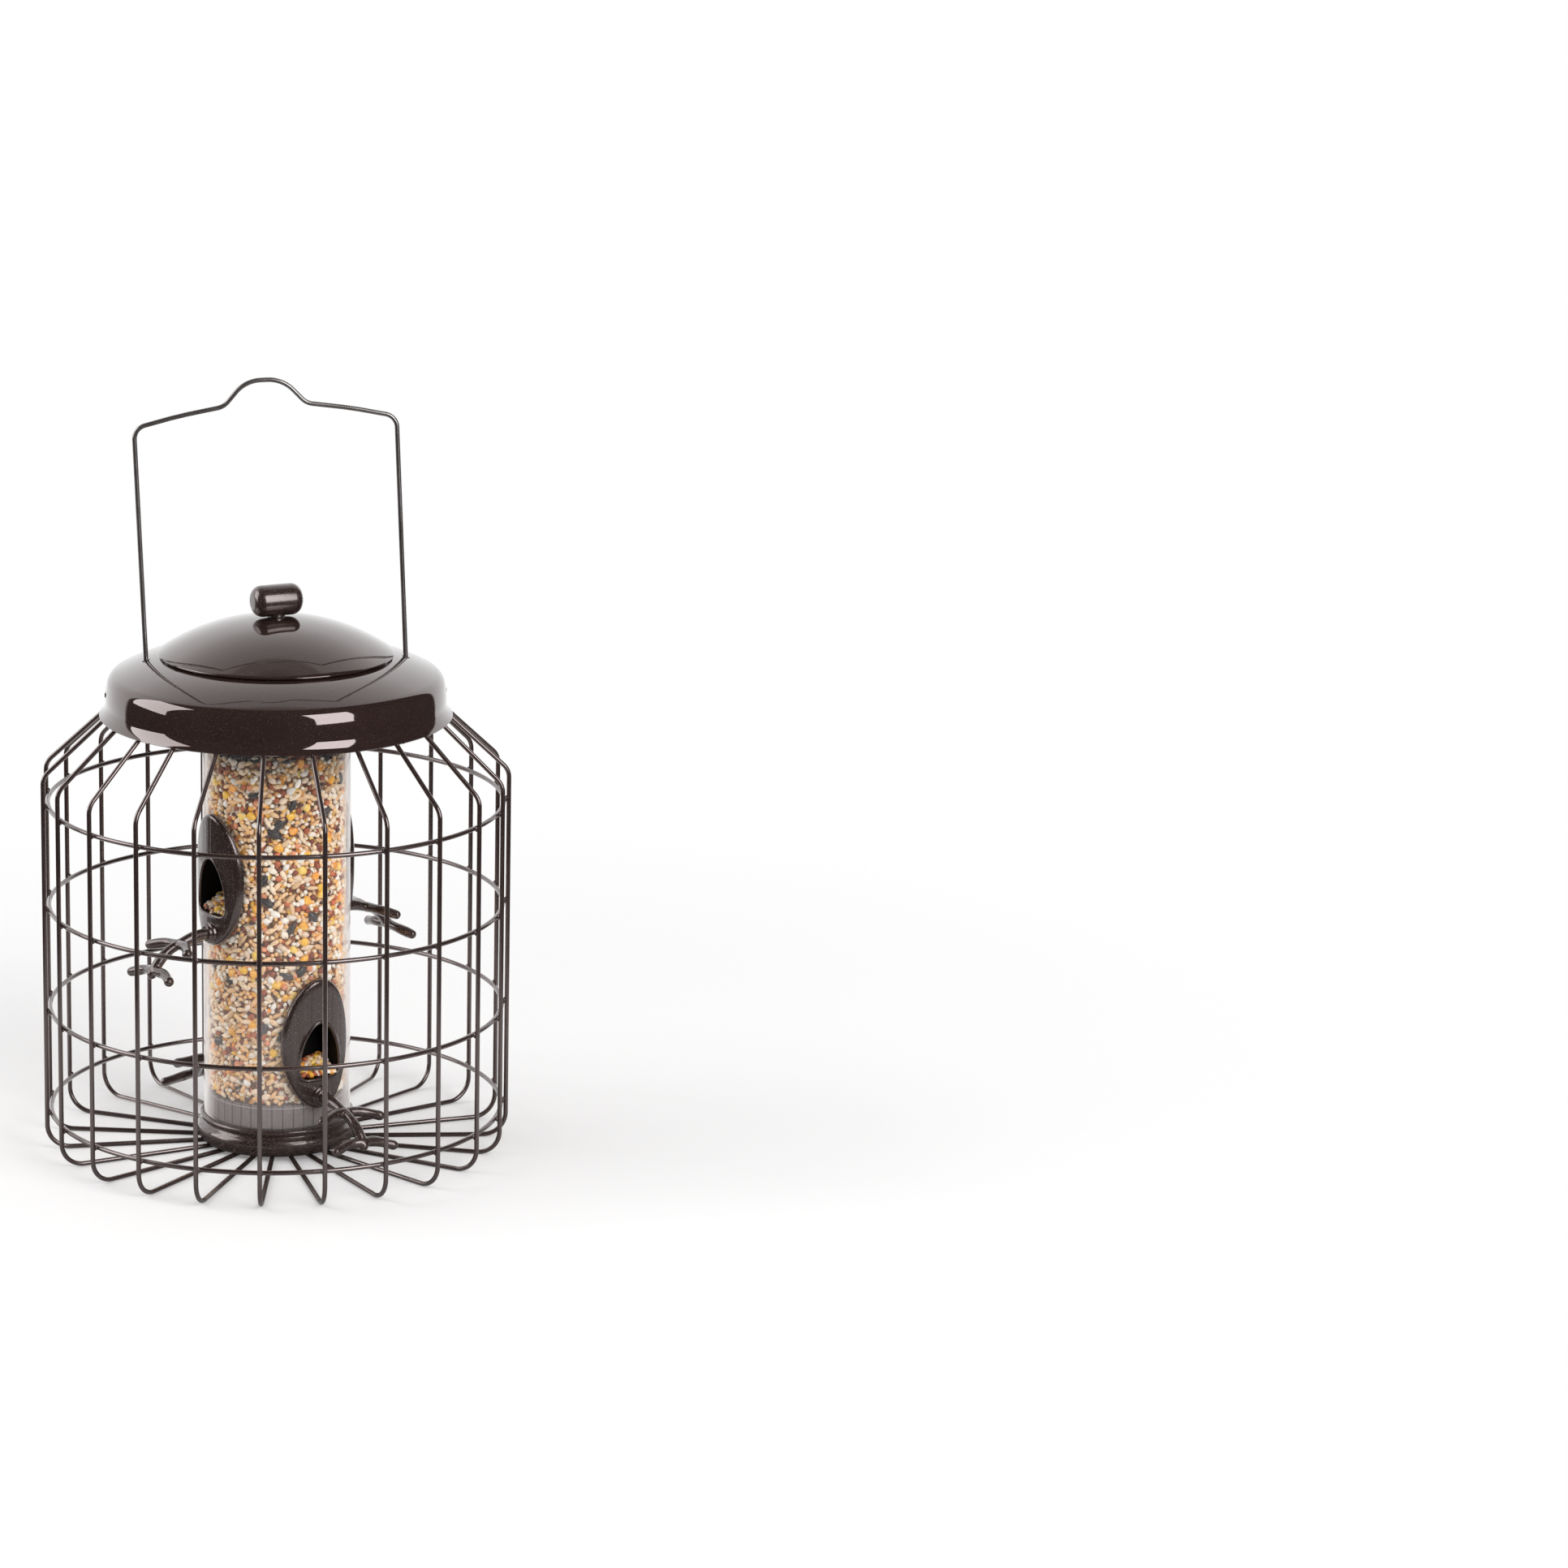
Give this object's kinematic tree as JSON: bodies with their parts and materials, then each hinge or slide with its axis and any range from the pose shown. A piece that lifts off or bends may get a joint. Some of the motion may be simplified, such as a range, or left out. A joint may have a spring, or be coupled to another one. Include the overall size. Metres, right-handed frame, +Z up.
{
  "type": "squirrel proof bird feeder",
  "caption": "Hanging tube feeder for small birds in a round wire cage that keeps squirrels out, with shielded ports, twig perches, a spun roof and a lift-off filler lid.",
  "frame": {"origin": "on the tube's axis, at the height of the underside of the cage's floor spokes", "axes": "+Z up along the tube's axis, -Y towards the viewer of the picture, +X to the right"},
  "size_m": [0.2375, 0.2379, 0.3986],
  "materials": {
    "dark_coat": "glossy dark brown powder coat with fine bright flakes",
    "clear_tube": "clear polycarbonate tube, glossy",
    "grey_plug": "ribbed grey plastic",
    "screw_steel": "zinc-plated steel",
    "seed_mix": "mixed dry bird seed: millet, milo, maize and sunflower"
  },
  "bodies": {
    "root": {"cage_wire_01": "dark_coat", "cage_wire_02": "dark_coat", "cage_wire_03": "dark_coat", "cage_wire_04": "dark_coat", "cage_wire_05": "dark_coat", "cage_wire_06": "dark_coat", "cage_wire_07": "dark_coat", "cage_wire_08": "dark_coat", "cage_wire_09": "dark_coat", "cage_wire_10": "dark_coat", "cage_wire_11": "dark_coat", "cage_wire_12": "dark_coat", "cage_wire_13": "dark_coat", "cage_wire_14": "dark_coat", "cage_wire_15": "dark_coat", "cage_wire_16": "dark_coat", "cage_wire_17": "dark_coat", "cage_wire_18": "dark_coat", "cage_wire_19": "dark_coat", "cage_wire_20": "dark_coat", "cage_wire_21": "dark_coat", "cage_wire_22": "dark_coat", "cage_wire_23": "dark_coat", "cage_hoop_1": "dark_coat", "cage_hoop_2": "dark_coat", "cage_hoop_3": "dark_coat", "cage_hoop_4": "dark_coat", "cage_top_ring": "dark_coat", "cage_floor_disc": "dark_coat", "roof": "dark_coat", "bail": "dark_coat", "base_casting": "dark_coat", "filler_funnel": "dark_coat", "port_upper_front": "dark_coat", "port_upper_back": "dark_coat", "port_lower_front": "dark_coat", "port_lower_back": "dark_coat", "perch_upper_front": "dark_coat", "perch_upper_back": "dark_coat", "perch_lower_front": "dark_coat", "perch_lower_back": "dark_coat", "seed_tube": "clear_tube", "base_plug": "grey_plug", "seed_fill_lower": "seed_mix", "seed_fill_upper": "seed_mix"},
    "lid": {"dome_lid": "dark_coat", "lid_spigot": "dark_coat"},
    "knob": {"knob": "dark_coat", "knob_screw": "screw_steel"},
    "base_screw": {"base_screw": "screw_steel"}
  },
  "joints": [
    {"name": "lid_lift", "type": "slide", "parent": "root", "child": "lid", "axis": [0, 0, 1], "range_m": [0, 0.075]},
    {"name": "knob_turn", "type": "hinge", "parent": "lid", "child": "knob", "pos_m": [0, 0, 0.285], "axis": [0, 0, 1], "continuous": true},
    {"name": "base_screw_turn", "type": "hinge", "parent": "root", "child": "base_screw", "pos_m": [0, 0, 0.01], "axis": [0, 0, 1], "continuous": true}
  ]
}
